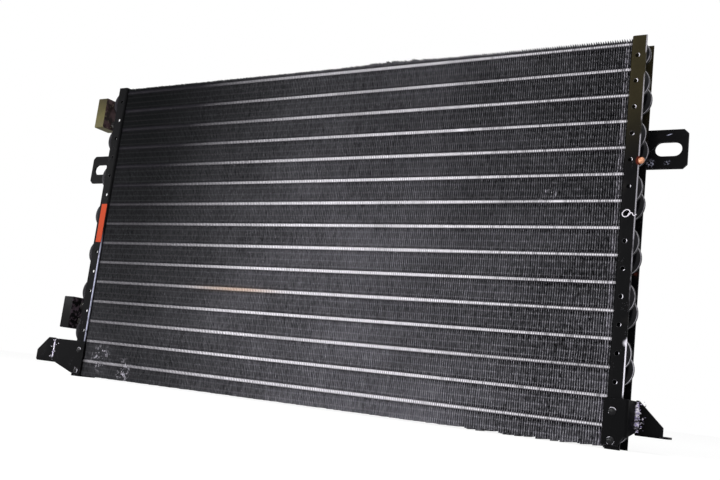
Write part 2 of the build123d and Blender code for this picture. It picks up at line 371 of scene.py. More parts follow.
def paint_finish(finish):
    """Thick black paint with runs, a little dust, rubbed edges, small painted glints and the scratches of the
    right lug.
    """
    wear = finish.edge_wear(0.0006, 3.0)
    dust = finish.patches(0.55, 0.78, 26.0, 5.0)
    finish.base = finish.blend(dust * 0.12, colours().paint, colours().dust)
    # Painted glints: small bright specks in the paint.
    painted_glints = finish.speckle(900.0) < 0.13
    finish.coat(painted_glints * finish.patches(0.54, 0.66, 40.0) * 0.8, colours().grain)
    finish.coat(wear * 0.6, colours().grain)
    scratch_x, scratch_z = LUG_SCRATCH
    slanted = finish.z - SCRATCH_SLOPE * finish.x
    line = finish.peak(slanted, scratch_z - SCRATCH_SLOPE * scratch_x, 0.0006)
    line = line * finish.peak(finish.x, scratch_x, 0.0032)
    broken = finish.patches(0.50, 0.56, 520.0, 2.0)
    scraped = finish.spot(*LUG_SCRAPE, 0.0050) * broken + finish.spot(*LUG_RUB, 0.0040) * broken * 0.3
    finish.coat(finish.clamp(line + scraped) * 1.2, colours().scratch_and_fold_highlight)
    finish.bump(240.0, 4.0, 0.35, 0.00035)
    roughness = 0.30 + 0.25 * finish.noise(60.0)
    return finish.set(Roughness=roughness, Specular_IOR_Level=0.02)


def plate_finish(finish):
    """Black paint, thin and olive brown on the upper right flange, with painted glints, a painted highlight
    along the left fold and a bright line along the right edge that is partly wear and partly painted
    highlight.
    """
    wear = finish.edge_wear(0.0006, 3.0)
    patch = finish.ramp(finish.z + 0.05 * finish.noise(14.0), 0.280, 0.365) * (finish.x > 0.30)
    mottle = finish.noise(70.0, 5.0)
    olive = finish.blend(mottle, colours().olive, (0.020, 0.016, 0.009))
    finish.base = finish.blend(patch, colours().paint, olive)
    dust = finish.patches(0.55, 0.78, 30.0, 5.0)
    finish.coat(dust * 0.2 * (finish.x > 0.0), colours().dust)
    # Painted glints: small bright specks in the paint.
    painted_glints = (finish.speckle(700.0) < 0.12) * finish.patches(0.56, 0.66, 45.0)
    finish.coat(painted_glints * 0.8, colours().grain)
    finish.coat(wear * 0.55, colours().grain)
    # Painted highlight: a bluish stripe along the left plate's inner fold.
    in_front = finish.y < core_low.y + 0.002
    stretch = finish.ramp(finish.z, 0.03, 0.06) * (1 - finish.ramp(finish.z, 0.15, 0.19))
    fold = finish.peak(finish.x, core_low.x - 0.0010, 0.0010) * stretch * in_front
    finish.coat(fold * finish.patches(0.3, 0.5, 90.0), colours().scratch_and_fold_highlight)
    # Painted highlight along the right flange's outer edge, partly real wear, with a painted glint spot near
    # its middle.
    edge_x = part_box("right_end_plate")[1].x
    bright = finish.ramp(finish.z, 0.044, 0.050) * (1 - finish.ramp(finish.z, 0.094, 0.099))
    pale = finish.ramp(finish.z, 0.12, 0.16) * finish.patches(0.40, 0.52, 120.0, 3.0, (1, 1, 0.3)) * 0.35
    edge_glint = finish.spot(edge_x - 0.0002, 0.0930, 0.0042)
    edge = finish.ramp(finish.x, edge_x - 0.0011, edge_x - 0.0007) * (bright + pale) + edge_glint
    finish.coat(finish.clamp(edge * in_front), colours().bare)
    drop_x, drop_z = COPPER_DROP
    far = ((finish.x - drop_x) ** 2 + (finish.z - drop_z) ** 2) ** 0.5
    finish.coat(finish.peak(far, 0.0036, 0.0022) * in_front * 1.5, (0.085, 0.014, 0.007))
    smear = finish.spot(*RED_SMEAR, 0.0050) * (finish.y > 0.0) * finish.ramp(mottle, 0.45, 0.6)
    finish.coat(smear, (0.20, 0.045, 0.030))
    finish.bump(240.0, 4.0, 0.3, 0.0003)
    roughness = 0.32 + 0.25 * finish.noise(60.0)
    return finish.set(Roughness=roughness, Specular_IOR_Level=0.02)


def painted_sheen_map(finish):
    """Painted sheen of light over the core: how much lighter the core is painted, least at the upper left."""
    across = finish.ramp(finish.x, core_low.x + 0.04, core_middle.x + 0.06)
    down = 1 - finish.ramp(finish.z, core_low.z - 0.02, core_high.z)
    right = finish.ramp(finish.x, core_middle.x + 0.10, core_high.x - 0.08)
    # Painted shade: the upper right is painted a little darker.
    dimmed = 1 - right * 0.22 * finish.peak(finish.z, 0.20, 0.18)
    return finish.clamp((across * 0.34 + down * 0.47 * (0.42 + across * 0.58)) * dimmed)


def brown_streak(finish, height):
    """The brownish stretch of one tube and of the fins beside it."""
    x, z = BROWN_STREAK
    return finish.peak(finish.z, z, height) * finish.peak(finish.x, x, 0.085)


def fin_finish(finish):
    """Dull blackened fins with dust and painted sheen, painted shade beside the tubes, faint beaded painted
    highlights between the tubes and painted glints on bent edges.
    """
    own = finish.each((finish.x - core_low.x) / ((core_high.x - core_low.x) / sizes().fin_count))
    phase = finish.math("FRACT", (core_high.z - finish.z) / tube_pitch)
    right = finish.ramp(finish.x, 0.12, 0.34)
    # Painted highlights: faint beaded bright rows between the tubes, most beaded on the right.
    lines = finish.peak(phase, 0.52, 0.05) + finish.peak(phase, 0.80, 0.05) + finish.peak(phase, 0.05, 0.04)
    row = finish.math("FLOOR", (core_high.z - finish.z) / tube_pitch * 4)
    bead = finish.each(own * 977.0 + row * 31.0)
    beads = lines * (0.35 + right * (bead - 0.15) * 2.2)
    # Painted shade in the fin gaps just above and below each tube.
    shade = finish.peak(phase, 0.25, 0.15)
    light = painted_sheen_map(finish)
    patches = finish.patches(0.40, 0.70, 9.0, 5.0, (1, 1, 1.6))
    fine = finish.noise(420.0, 2.0, (1, 1, 0.35)) - 0.5
    grain = (finish.noise(300.0, 2.0, (1, 1, 0.9)) - 0.5) * right
    uneven = 0.52 + patches * 0.3 + beads * 0.6 + (own - 0.5) * 0.12
    uneven = uneven + fine * 1.6 + grain * 3.0 - right * 0.04
    # Dust, with the painted sheen setting how light it is painted.
    dust_and_sheen = finish.clamp(light * uneven + lines * 0.03)
    finish.base = finish.blend(dust_and_sheen, colours().fin, colours().fin_dust_and_sheen)
    finish.coat(shade * 0.84, (0.014, 0.012, 0.018))
    # Bright specks that follow the painted sheen: partly rubbed metal, partly painted highlight.
    rubbed = finish.patches(0.62, 0.72, 520.0, 2.0) * light
    finish.coat(finish.clamp(rubbed * 0.7), colours().bare)
    # Painted highlight on the last fins by the right end plate.
    last = finish.peak(finish.x, core_high.x - 0.0045, 0.0030) * finish.patches(0.42, 0.55, 260.0, 2.0)
    finish.coat(last * 0.75, colours().bare)
    # Painted glints on the bent fins.
    first, *others = (finish.spot(*place) for place in GLINTS)
    corner = sum(others, first)
    glints = finish.clamp(corner * 1.4) * finish.patches(0.56, 0.61, 240.0, 2.0)
    finish.coat(glints, colours().bare)
    finish.coat(brown_streak(finish, 0.006) * 0.4, (0.26, 0.15, 0.06))
    return finish.set(Roughness=0.6, Specular_IOR_Level=0.08)


def tube_finish(finish):
    """Dark tubes with a painted highlight along their front and back crests, lightest where the painted sheen
    is.
    """
    depth = finish.math("ABSOLUTE", finish.y - core_middle.y)
    right = finish.ramp(finish.x, 0.10, 0.30)
    # Painted highlight on the crests, made stronger or weaker along the tubes by the painted sheen, the
    # patches and the dashes.
    crest_low = rear_row_y - core_middle.y + 0.0042
    crest = finish.ramp(depth - right * 0.00018, crest_low, crest_low + 0.00042)
    inside = finish.ramp(finish.x, core_low.x - 0.002, core_low.x)
    inside = inside * (1 - finish.ramp(finish.x, core_high.x, core_high.x + 0.002))
    light = finish.clamp(painted_sheen_map(finish) * 2.3 - 0.12 + right * 0.16)
    worn = finish.patches(0.30, 0.52, 7.0, 4.0, (1, 1, 3)) * 0.3 + 0.7
    dashes = finish.patches(0.30, 0.50, 240.0, 3.0, (1, 1, 0.2))
    broken = (1 - (0.15 + right * 0.4) * (1 - dashes)) * (1 - right * 0.05)
    bright = finish.clamp(crest * inside * worn * broken * light)
    finish.base = finish.blend(bright, colours().tube, colours().tube_crest_highlight)
    finish.coat(brown_streak(finish, 0.009) * bright * 0.7, (0.62, 0.33, 0.12))
    finish.bump(300.0, 3.0, 0.2, 0.0002)
    return finish.set(Roughness=0.28 + 0.2 * finish.noise(90.0), Specular_IOR_Level=0.06)


def bend_finish(finish):
    """Smooth black bends with a painted highlight line along their outer crest."""
    turned_x, turned_y, _ = finish.facing()
    # Painted highlight along the outer crest, set by the surface's direction and stronger low down.
    line = finish.peak(turned_y, -0.42, 0.12) * finish.ramp(turned_x, 0.02, 0.20)
    patchy = finish.patches(0.36, 0.52, 110.0, 3.0)
    low_down = 1 - finish.ramp(finish.z, 0.08, 0.16)
    strength = line * (patchy * 0.6 + 0.25) * (0.7 + low_down * 0.6)
    finish.base = finish.blend(finish.clamp(strength), (0.010, 0.010, 0.012), colours().bare)
    finish.bump(260.0, 3.0, 0.25, 0.0003)
    return finish.set(Roughness=0.16 + 0.2 * finish.noise(90.0), Specular_IOR_Level=0.12)


def weld_finish(finish):
    """Weld bead under patchy black paint; its bright patches are painted glints."""
    # Painted glints: bright purplish-white speckles on the bead.
    bare = finish.patches(0.40, 0.50, 330.0, 4.0)
    metal = finish.blend(finish.patches(0.50, 0.60, 600.0, 2.0), colours().weld, (0.40, 0.34, 0.62))
    finish.base = finish.blend(bare, (0.02, 0.018, 0.026), metal)
    finish.bump(700.0, 3.0, 0.6, 0.0005)
    return finish.set(Roughness=0.35, Metallic=bare * 0.15)


def braze_finish(finish):
    """Painted collars of braze with a few painted glints."""
    bare = finish.patches(0.62, 0.70, 420.0, 3.0)
    finish.base = finish.blend(bare, (0.016, 0.014, 0.014), (0.34, 0.33, 0.30))
    return finish.set(Roughness=0.35, Specular_IOR_Level=0.15)


def rivet_finish(finish):
    """Dark rivet heads with a painted highlight along their rims, broken into spots."""
    _, turned_y, _ = finish.facing()
    rim = finish.peak(turned_y, -0.55, 0.22)
    bare = finish.clamp(rim * 1.6 * finish.patches(0.46, 0.56, 190.0, 2.0))
    finish.base = finish.blend(bare, (0.010, 0.010, 0.011), colours().bare)
    finish.bump(500.0, 3.0, 0.4, 0.0003)
    return finish.set(Roughness=0.25, Specular_IOR_Level=0.15)


def lip_finish(finish):
    """The rims of the punched holes, with painted glints."""
    bare = finish.patches(0.36, 0.52, 260.0, 3.0)
    finish.base = finish.blend(bare, (0.02, 0.02, 0.02), colours().bare)
    return finish.set(Roughness=0.3, Specular_IOR_Level=0.3)


def passivated_finish(finish):
    """Olive yellow front with purplish iridescence on the sides, and painted glints on the sides."""
    side = finish.ramp(finish.facing()[0], 0.3, 0.8)
    mottle = finish.noise(95.0, 5.0)
    low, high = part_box("inlet_block")
    upper = finish.ramp(finish.z, low.z + 0.012, high.z)
    front = finish.blend(mottle, colours().passivated, (0.105, 0.090, 0.024))
    front = finish.blend(upper * 0.7, front, (0.020, 0.015, 0.008))
    flank = finish.blend(finish.ramp(mottle, 0.4, 0.6), (0.022, 0.015, 0.015), (0.085, 0.052, 0.055))
    # Painted glints on the sides.
    flank = finish.blend(finish.patches(0.62, 0.70, 210.0, 2.0) * 0.7, flank, (0.30, 0.28, 0.16))
    finish.base = finish.blend(side, front, flank)
    finish.bump(320.0, 3.0, 0.3, 0.0003)
    return finish.set(Roughness=0.34 + 0.2 * mottle, Specular_IOR_Level=0.12)


def outlet_finish(finish):
    """Black block paint with purplish painted glints on the side that looks to the core."""
    side = finish.ramp(finish.facing()[0], 0.3, 0.8)
    painted_glints = finish.patches(0.48, 0.62, 260.0, 3.0) * side * 0.6
    finish.base = finish.blend(painted_glints, colours().paint, (0.14, 0.10, 0.13))
    finish.coat(finish.edge_wear(0.0006, 3.0) * 0.3, colours().grain)
    finish.bump(240.0, 4.0, 0.35, 0.00035)
    return finish.set(Roughness=0.4, Specular_IOR_Level=0.04)


def label_finish(finish):
    """Matt orange strip with rubbed and soiled spots."""
    soil = finish.patches(0.55, 0.75, 150.0, 5.0)
    finish.base = finish.blend(soil * 0.6, colours().label, (0.24, 0.034, 0.011))
    return finish.set(Roughness=0.6, Specular_IOR_Level=0.1)


def copper_finish(finish):
    """Bare copper with a dark red tarnish round it."""
    tarnish = finish.patches(0.48, 0.66, 600.0, 3.0)
    finish.base = finish.blend(tarnish * 0.6, colours().copper, (0.42, 0.14, 0.06))
    return finish.set(Roughness=0.32, Metallic=0.2)


def wire_finish(finish):
    """Thin bright wire with dull stretches."""
    dull = finish.noise(300.0, 3.0)
    finish.base = finish.blend(dull * 0.3, colours().wire, (0.40, 0.37, 0.42))
    return finish.set(Roughness=0.30 + 0.2 * dull, Metallic=0.1)


class Shell:
    """Corners and faces that are gathered into one mesh."""

    def __init__(self):
        self.corners = []
        self.faces = []

    def add(self, corners, faces):
        first = len(self.corners)
        self.corners += [Vector(corner) for corner in corners]
        self.faces += [[first + index for index in face] for face in faces]

    def tube(self, path, radius, sides=16):
        """A round tube along a path. The radius may be a list, with one for each point."""
        radii = radius if isinstance(radius, list) else [radius] * len(path)
        path = [Vector(point) for point in path]
        rings = []
        across = None
        for index, point in enumerate(path):
            ahead = path[min(index + 1, len(path) - 1)] - path[max(index - 1, 0)]
            ahead.normalize()
            across = ahead.orthogonal() if across is None else across - ahead * across.dot(ahead)
            across.normalize()
            up = ahead.cross(across)
            for side in range(sides):
                angle = 2 * math.pi * side / sides
                rings.append(point + (across * math.cos(angle) + up * math.sin(angle)) * radii[index])
        faces = []
        for ring in range(len(path) - 1):
            for side in range(sides):
                after = (side + 1) % sides
                low, high = ring * sides, (ring + 1) * sides
                faces.append([low + side, low + after, high + after, high + side])
        last = (len(path) - 1) * sides
        faces.append(list(range(sides))[::-1])
        faces.append([last + side for side in range(sides)])
        self.add(rings, faces)

    def panel(self, place, outline, thickness, holes=(), open_edges=()):
        """A flat plate. place turns (u, v, depth) into a point, and a hole is (outline, depth or None)."""
        loops = [list(outline)] + [list(hole) for hole, _ in holes]
        depths = [thickness] + [depth or thickness for _, depth in holes]
        through = [loops[0]] + [hole for hole, depth in holes if not depth]
        for depth, kept in ((0.0, loops), (thickness, through)):
            flat = [Vector((u, v, 0.0)) for loop in kept for u, v in loop]
            triangles = tessellate_polygon([[Vector((u, v, 0.0)) for u, v in loop] for loop in kept])
            self.add([place(u, v, depth) for u, v, _ in flat], [list(triangle) for triangle in triangles])
        for number, (loop, depth) in enumerate(zip(loops, depths)):
            for index, (u, v) in enumerate(loop):
                if number == 0 and index in open_edges:
                    continue
                edge = ((u, v), loop[(index + 1) % len(loop)])
                near = [place(*end, 0) for end in edge]
                self.add(near + [place(*end, depth) for end in reversed(edge)], [[0, 1, 2, 3]])
        for hole, depth in holes:
            if depth:
                self.add([place(u, v, depth) for u, v in hole], [list(range(len(hole)))])

    def fold(self, place, inner, outer, low, high, start, end, steps=6):
        """A quarter round between two panels. place turns (u, v, along) into a point."""
        angles = [start + (end - start) * step / steps for step in range(steps + 1)]
        for one, two in zip(angles, angles[1:]):
            a, b = (math.cos(one), math.sin(one)), (math.cos(two), math.sin(two))
            corners = []
            for along in (low, high):
                for radius in (inner, outer):
                    corners += [place(u * radius, v * radius, along) for u, v in (a, b)]
            self.add(corners, [[0, 1, 5, 4], [2, 3, 7, 6], [0, 1, 3, 2], [4, 5, 7, 6]])

    def turned(self, place, profile, sides=28):
        """A profile of (radius, along) turned round an axis. place turns (u, v, along) into a point."""
        corners = []
        for radius, along in profile:
            for side in range(sides):
                angle = 2 * math.pi * side / sides
                corners.append(place(radius * math.cos(angle), radius * math.sin(angle), along))
        faces = []
        for ring in range(len(profile) - 1):
            for side in range(sides):
                after = (side + 1) % sides
                low, high = ring * sides, (ring + 1) * sides
                faces.append([low + side, low + after, high + after, high + side])
        faces.append(list(range(sides))[::-1])
        faces.append([(len(profile) - 1) * sides + side for side in range(sides)])
        self.add(corners, faces)

    def piece(self, name, material, replaced=(), rounded=0.0, smooth_angle=35.0):
        """Turns the shell into a piece of the object."""
        mesh = bpy.data.meshes.new(name)
        mesh.from_pydata(self.corners, [], self.faces)
        cleaned = bmesh.new()
        cleaned.from_mesh(mesh)
        bmesh.ops.remove_doubles(cleaned, verts=cleaned.verts, dist=1e-6)
        bmesh.ops.recalc_face_normals(cleaned, faces=cleaned.faces)
        cleaned.to_mesh(mesh)
        cleaned.free()
        mesh.materials.append(material)
        mesh.polygons.foreach_set("use_smooth", [True] * len(mesh.polygons))
        mesh.set_sharp_from_angle(angle=math.radians(smooth_angle))
        made = bpy.data.objects.new(name, mesh)
        bpy.context.scene.collection.objects.link(made)
        if rounded:
            bevel = made.modifiers.new("rounded edges", "BEVEL")
            bevel.width = rounded
            bevel.segments = 2
            bevel.limit_method = "ANGLE"
            bevel.angle_limit = math.radians(50)
            bevel.harden_normals = True
        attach(made, "root")
        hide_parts(*replaced)
        return made


def circle(u, v, radius, sides=32):
    """The corners of a round hole."""
    angles = [2 * math.pi * side / sides for side in range(sides)]
    return [(u + radius * math.cos(angle), v + radius * math.sin(angle)) for angle in angles]


def slot_outline(u, v, length, width, steps=12):
    """A slot with round ends, long along u."""
    radius = width / 2
    reach = length / 2 - radius
    points = []
    for sign, start in ((1, -math.pi / 2), (-1, math.pi / 2)):
        for step in range(steps + 1):
            angle = start + math.pi * step / steps
            points.append((u + sign * reach + radius * math.cos(angle), v + radius * math.sin(angle)))
    return points


def half_turn(start_x, side, first, second, steps=20):
    """A half turn between two tube ends, each given as (y, z)."""
    middle = [(a + b) / 2 for a, b in zip(first, second)]
    radius = math.dist(first, second) / 2
    points = []
    for step in range(steps + 1):
        angle = math.pi * step / steps
        y, z = (m + (f - m) * math.cos(angle) for m, f in zip(middle, first))
        points.append((start_x + side * radius * math.sin(angle), y, z))
    return points


def tube_rows():
    """Where the tubes of the front and the back row lie, each as (y, z)."""
    front = [(front_row_y, front_z(index)) for index in range(TUBES_PER_ROW)]
    rear = [(rear_row_y, rear_z(index)) for index in range(TUBES_PER_ROW)]
    return front, rear


def outlet_heights():
    """Heights of the two tubes at the outlet block."""
    middle = node_middle("outlet_block").z
    return middle + 0.01, middle - 0.01


def side_and_edges(low, high):
    """The side that a bracket is on, and its inner and outer x."""
    if low.x > 0:
        return RIGHT, low.x, high.x
    return LEFT, high.x, low.x


def upright(y):
    """Places a panel that stands across Y, from its face at y backwards."""
    return lambda u, v, depth: Vector((u, y + depth, v))


def bracket_paint():
    return finish_for("bracket paint", paint_finish)


def mirrored(side):
    """Places something drawn for the right half round the core's middle, on one side of it."""

    def place(x, y, z):
        return Vector((core_middle.x + side * (x - core_middle.x), y, z))

    return place


def build_fins():
    """The stack of fins, each a thin sheet whose edges are a little bent."""
    count = sizes().fin_count
    half = sizes().fin_thickness / 2
    pitch = (core_high.x - core_low.x) / count
    rings = 46
    shuffle = random.Random(7)
    shell = Shell()
    for fin in range(count):
        x = core_low.x + (fin + 0.5) * pitch
        top = core_high.z - 0.0004 - shuffle.random() * 0.0006
        bottom = core_low.z + 0.0004 + shuffle.random() * 0.0006
        lifted = math.exp(-(((x - 0.088) / 0.045) ** 2))
        top += lifted * (0.0008 + 0.0022 * shuffle.random())
        ragged = math.exp(-(((x - 0.27) / 0.08) ** 2))
        bottom = max(bottom - ragged * (0.0030 * shuffle.random() - 0.0012), 0.0001)
        lean = (shuffle.random() - 0.5) * 0.0002
        corners = []
        for ring in range(rings + 1):
            z = bottom + (top - bottom) * ring / rings
            edge = []
            for face, y, inward in ((0, core_low.y, 1), (1, core_high.y, -1)):
                wave = noise.noise(Vector((x * 14, z * 55, face * 5.0))) * 0.0006
                flutter = noise.noise(Vector((x * 300, z * 160, face * 9.0 + 2.0))) * 0.00022
                dent = dent_at(x, z) if face == 0 else 0.0
                shift = lean + wave + flutter + dent * 0.0011
                depth = sizes().fin_recess + abs(flutter) * 0.9 + abs(dent) * 0.0012
                edge.append((x + shift, y + inward * depth))
            (front_x, front_y), (back_x, back_y) = edge
            corners += [
                (front_x - half, front_y, z),
                (front_x + half, front_y, z),
                (back_x + half, back_y, z),
                (back_x - half, back_y, z),
            ]
        faces = [[0, 1, 2, 3], [4 * rings + index for index in (3, 2, 1, 0)]]
        for ring in range(rings):
            for index in range(4):
                after = (index + 1) % 4
                low, high = 4 * ring, 4 * ring + 4
                faces.append([low + index, low + after, high + after, high + index])
        shell.add(corners, faces)
    shell.piece("fins", finish_for("dull fins", fin_finish), ["fin_pack"], smooth_angle=60.0)


# Bent places on the front: middle as (x, z), reach along both, and how far the fins are pushed over
DENTS = (
    (0.267, 0.232, 0.009, 0.006, 0.9),
    (0.290, 0.222, 0.008, 0.005, -1.0),
    (0.278, 0.243, 0.010, 0.003, 0.7),
    (-0.300, 0.030, 0.016, 0.010, 0.8),
    (-0.262, 0.012, 0.020, 0.007, -0.9),
    (0.040, 0.171, 0.012, 0.003, 0.6),
    (0.180, 0.300, 0.006, 0.010, -0.5),
)


def dent_at(x, z):
    """How far the fins' front edges are pushed over, from -1 to 1."""
    total = 0.0
    for middle_x, middle_z, reach_x, reach_z, push in DENTS:
        far = ((x - middle_x) / reach_x) ** 2 + ((z - middle_z) / reach_z) ** 2
        if far < 6:
            total += push * math.exp(-far)
    return total


def tube_piece(name, path):
    """One tube, in place of its CAD node."""
    shell = Shell()
    shell.tube(path, sizes().tube_diameter / 2)
    shell.piece(f"{name}_round", finish_for("tubes with painted crest highlight", tube_finish), [name])


def build_tubes():
    """The legs with their left bends, and the tubes that run out to the blocks."""
    radius = sizes().tube_diameter / 2
    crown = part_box("front_hairpin_1")[0].x
    bend_x = crown + radius + tube_pitch / 2
    front, rear = tube_rows()
    pairs = {f"front_hairpin_{number + 1}": front[2 * number : 2 * number + 2] for number in range(7)}
    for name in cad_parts:
        if name.startswith("rear_hairpin_"):
            leg_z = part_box(name)[1].z - radius
            upper = min(range(TUBES_PER_ROW), key=lambda index: abs(rear[index][1] - leg_z))
            pairs[name] = rear[upper : upper + 2]
    pairs["crossing_hairpin"] = [front[-1], rear[-1]]
    for name, (first, second) in pairs.items():
        path = [(core_high.x, *first), *half_turn(bend_x, LEFT, first, second), (core_high.x, *second)]
        tube_piece(name, path)
    for name, row in (("inlet_tube_upper", 0), ("inlet_tube_lower", 1)):
        tube_piece(name, [(x, rear_row_y, rear_z(row)) for x in (core_high.x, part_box(name)[0].x)])
    upper_z, lower_z = outlet_heights()
    for name, row, end_z in (("outlet_tube_upper", 10, upper_z), ("outlet_tube_lower", 11, lower_z)):
        start_z, end_x = rear_z(row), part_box(name)[0].x
        knee, shoulder = bend_x + 0.003, end_x + 0.003
        path = [(core_high.x, rear_row_y, start_z)]
        for step in range(17):
            share = step / 16
            ease = share * share * (3 - 2 * share)
            path.append((knee + (shoulder - knee) * share, rear_row_y, start_z + (end_z - start_z) * ease))
        tube_piece(name, path + [(end_x, rear_row_y, end_z)])


def build_bends():
    """The separate bends at the right end."""
    radius = sizes().tube_diameter / 2
    front, rear = tube_rows()
    material = finish_for("black bends", bend_finish)
    for name, row in (("front_return_bends", front), ("rear_return_bends", rear)):
        shell = Shell()
        for index in range(1, TUBES_PER_ROW - 1, 2):
            shell.tube(half_turn(core_high.x, RIGHT, row[index], row[index + 1]), radius)
        shell.piece(f"{name}_round", material, [name])
    shell = Shell()
    start = core_high.x + sizes().sheet
    path = [(core_high.x, *front[0]), *half_turn(start, RIGHT, front[0], rear[0]), (core_high.x, *rear[0])]
    shell.tube(path, radius)
    shell.piece("crossover_bend_round", material, ["crossover_bend"])


def build_end_plate(side, name):
    """A folded channel with round tube holes and a row of punched holes in its front flange."""
    low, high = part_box("right_end_plate")
    sheet, inner = sizes().sheet, sizes().fold_radius
    outer = sheet + inner
    place = mirrored(side)
    shell = Shell()
    bottom, top = low.z, high.z
    punched_x, punched_radius = node_middle("right_rivets").x, 0.002
    holes = [(circle(punched_x, rear_z(index), punched_radius, 16), None) for index in range(TUBES_PER_ROW)]
    for y, sign, cut in ((low.y, 1, holes), (high.y, -1, [])):
        outline = [(low.x + outer, bottom), (high.x, bottom), (high.x, top), (low.x + outer, top)]
        shell.panel(lambda u, v, d, y=y, sign=sign: place(u, y + sign * d, v), outline, sheet, cut, [3])
        start = -math.pi / 2 if sign == 1 else math.pi / 2
        shell.fold(
            lambda u, v, along, y=y, sign=sign: place(low.x + outer + u, y + sign * outer + v, along),
            inner, outer, bottom, top, start, math.pi * -sign,
        )
    web = [(low.y + outer, bottom), (high.y - outer, bottom), (high.y - outer, top), (low.y + outer, top)]
    clearance = 0.0002
    radius = sizes().tube_diameter / 2 + clearance
    spots = [spot for pair in zip(*tube_rows()) for spot in pair]
    round_holes = [(circle(y, z, radius, 24), None) for y, z in spots]
    shell.panel(lambda u, v, d: place(low.x + d, u, v), web, sheet, round_holes, [1, 3])
    material = finish_for("plate paint", plate_finish)
    shell.piece(f"{name}_folded", material, [name], rounded=sizes().edge_round)


def build_lug(name):
    """A lug with a slot, clipped outer corners and rounded edges."""
    low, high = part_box(name)
    side, inner_x, outer_x = side_and_edges(low, high)
    clip, margin = 0.004, 0.0052
    slot_length, slot_width = 0.0246, 0.0136
    slot_x = outer_x - side * (margin + slot_length / 2)
    outline = [
        (inner_x, low.z),
        (outer_x - side * clip, low.z),
        (outer_x, low.z + clip),
        (outer_x, high.z - clip),
        (outer_x - side * clip, high.z),
        (inner_x, high.z),
    ]
    shell = Shell()
    opening = slot_outline(slot_x, (low.z + high.z) / 2, slot_length, slot_width)
    shell.panel(upright(low.y), outline, high.y - low.y, [(opening, None)])
    shell.piece(f"{name}_plate", bracket_paint(), [name], rounded=0.0003)


def build_foot(name):
    """A foot: a plate on the front flange with a wall folded back from its outer edge."""
    low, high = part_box(name)
    side, inner_x, outer_x = side_and_edges(low, high)
    sheet, inner = sizes().sheet, sizes().fold_radius
    outer = sheet + inner
    wall_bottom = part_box(f"{name}_weld")[0].z
    plate_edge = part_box("right_end_plate")[1].x
    slope_width = 0.007
    corner_x = outer_x - slope_width if side == RIGHT else core_middle.x - (plate_edge - core_middle.x)
    fold_x = outer_x - side * outer
    share = (fold_x - corner_x) / (outer_x - corner_x)
    fold_low = low.z + (wall_bottom - low.z) * share
    outline = [(inner_x, low.z), (corner_x, low.z), (fold_x, fold_low), (fold_x, high.z), (inner_x, high.z)]
    shell = Shell()
    shell.panel(upright(low.y), outline, sheet, (), [2])
    end = 0.0 if side == RIGHT else -math.pi
    shell.fold(
        lambda u, v, along: Vector((fold_x + u, low.y + outer + v, max(along, fold_low))),
        inner, outer, fold_low, high.z, -math.pi / 2, end,
    )
    wall = [(low.y + outer, fold_low), (high.y, wall_bottom), (high.y, high.z), (low.y + outer, high.z)]
    shell.panel(lambda u, v, d: Vector((outer_x - side * d, u, v)), wall, sheet, (), [3])
    shell.piece(f"{name}_folded", bracket_paint(), [name], rounded=0.00025)


def build_foot_angle(name, corner_width, corner_height):
    """An angle with a cut upper corner and a shelf with a hole, folded back from its lower edge."""
    low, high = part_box(name)
    side, inner_x, outer_x = side_and_edges(low, high)
    sheet, inner = 0.002, 0.001
    outer = sheet + inner
    overhang, notch, hole_radius = 0.0035, 0.002, 0.0055
    leg_x = outer_x - side * overhang
    top = high.z
    outline = [
        (inner_x, low.z + outer),
        (leg_x, low.z + outer),
        (leg_x, top - corner_height),
        (leg_x - side * corner_width, top),
        (inner_x, top),
    ]
    shell = Shell()
    shell.panel(upright(low.y), outline, sheet, (), [0])
    shell.fold(
        lambda u, v, along: Vector((along, low.y + outer + u, low.z + outer + v)),
        inner, outer, inner_x, leg_x, math.pi, math.pi * 1.5,
    )
    shelf = [
        (inner_x, low.y + outer),
        (leg_x, low.y + outer),
        (outer_x, low.y + outer + notch),
        (outer_x, high.y),
        (inner_x, high.y),
    ]
    hole = circle((inner_x + outer_x) / 2, low.y + (sheet + high.y - low.y) / 2, hole_radius)
    shell.panel(lambda u, v, d: Vector((u, v, low.z + d)), shelf, sheet, [(hole, None)], [0])
    shell.piece(f"{name}_folded", bracket_paint(), [name], rounded=0.0003)


def bead(shell, start, end, radius, seed, rough=0.25):
    """A weld bead with ripples and uneven sides."""
    start, end = Vector(start), Vector(end)
    length = (end - start).length
    steps = max(8, int(length / 0.0007))
    path, radii = [], []
    for step in range(steps + 1):
        share = step / steps
        uneven = rough * noise.noise(Vector((share * length * 700, seed, 0.0)))
        ripple = 1 + uneven + 0.12 * math.sin(share * length * 3600)
        ends = min(1.0, 4 * min(share, 1 - share) + 0.35)
        place = share * length * 400
        sway = Vector([noise.noise(Vector((place, seed, layer))) for layer in (3.5, 14.5, 25.5)])
        path.append(start.lerp(end, share) + sway * min(radius * 0.25, 0.0004))
        radii.append(radius * ripple * ends)
    shell.tube(path, radii, 12)


